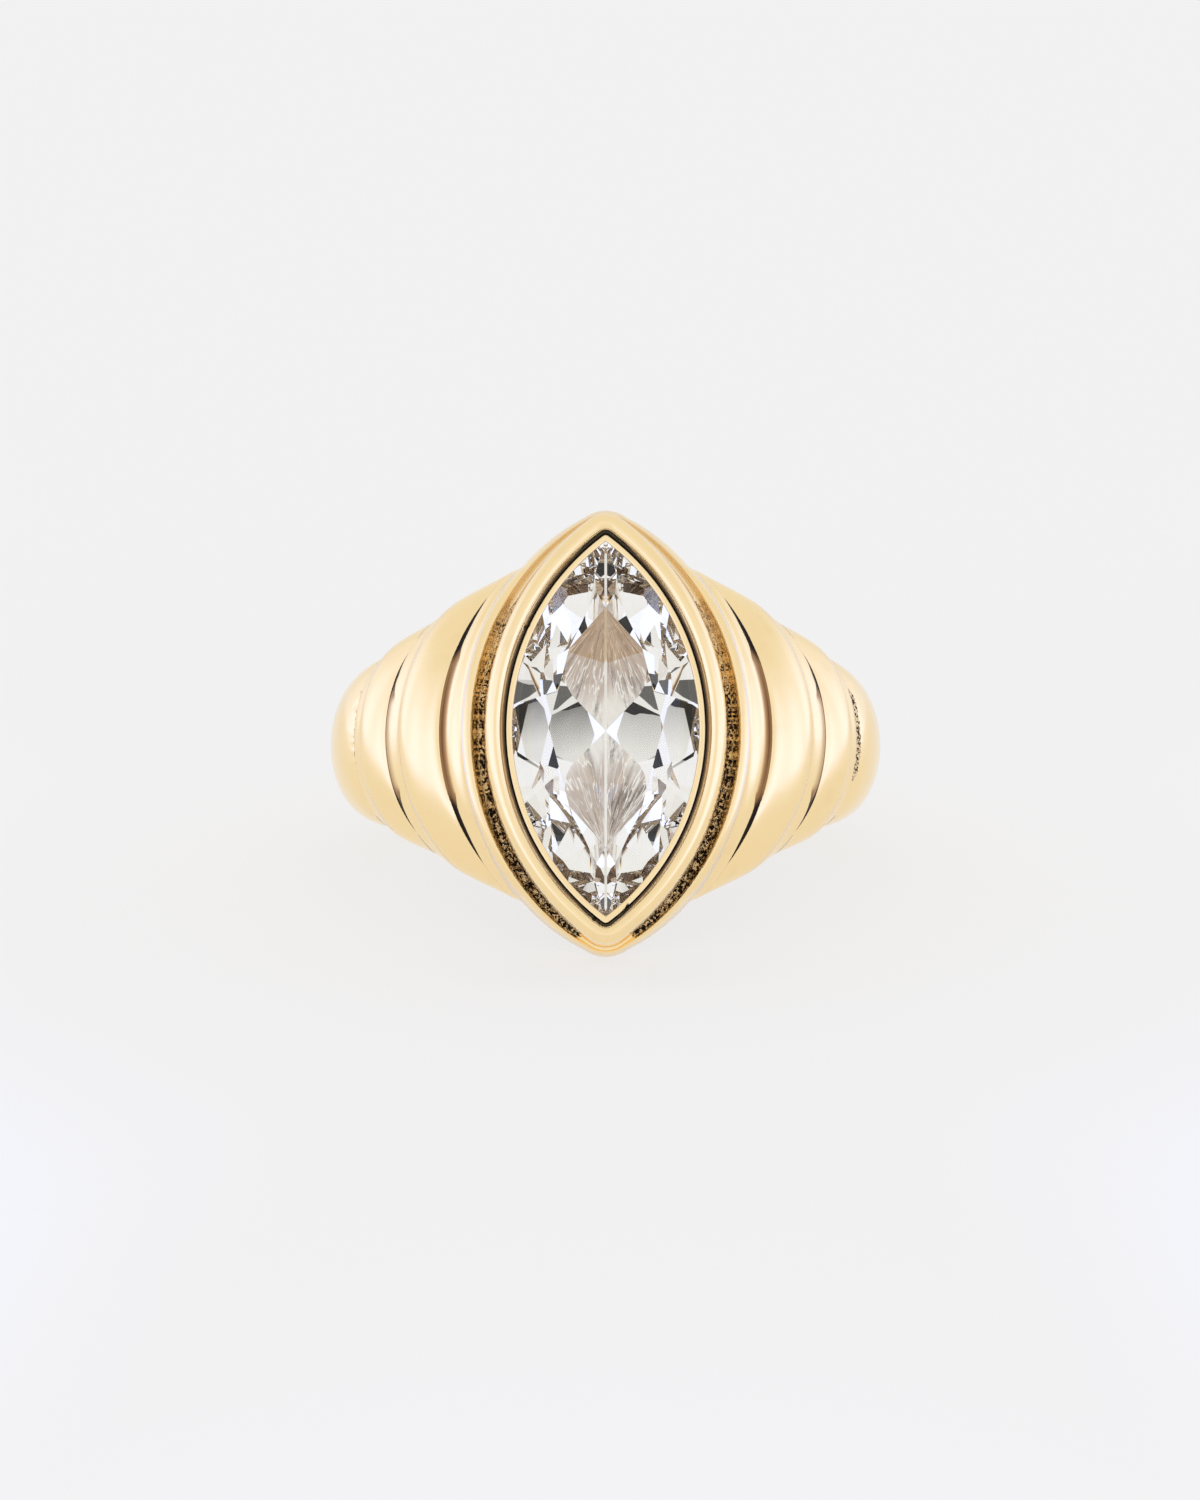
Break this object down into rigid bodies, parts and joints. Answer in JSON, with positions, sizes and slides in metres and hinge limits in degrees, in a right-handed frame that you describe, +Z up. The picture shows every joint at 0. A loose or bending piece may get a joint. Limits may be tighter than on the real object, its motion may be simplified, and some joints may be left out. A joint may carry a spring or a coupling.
{
  "type": "navette ring",
  "caption": "Cast gold finger ring with stepped shoulders and a long pointed clear stone set in a lens-shaped bezel, lying on its side.",
  "frame": {"origin": "middle of the ring's footprint, on the surface that it lies on", "axes": "+Z up; the stone faces -Y and a little up; +X across the ring, to the right as the stone is looked at"},
  "size_m": [0.0212, 0.024, 0.0167],
  "materials": {
    "gold": "polished gold plate, dark in the pitted groove and the creases",
    "clear_stone": "clear cut stone with polished facets"
  },
  "bodies": {
    "root": {"ring_body": "gold", "stone": "clear_stone"}
  },
  "joints": []
}
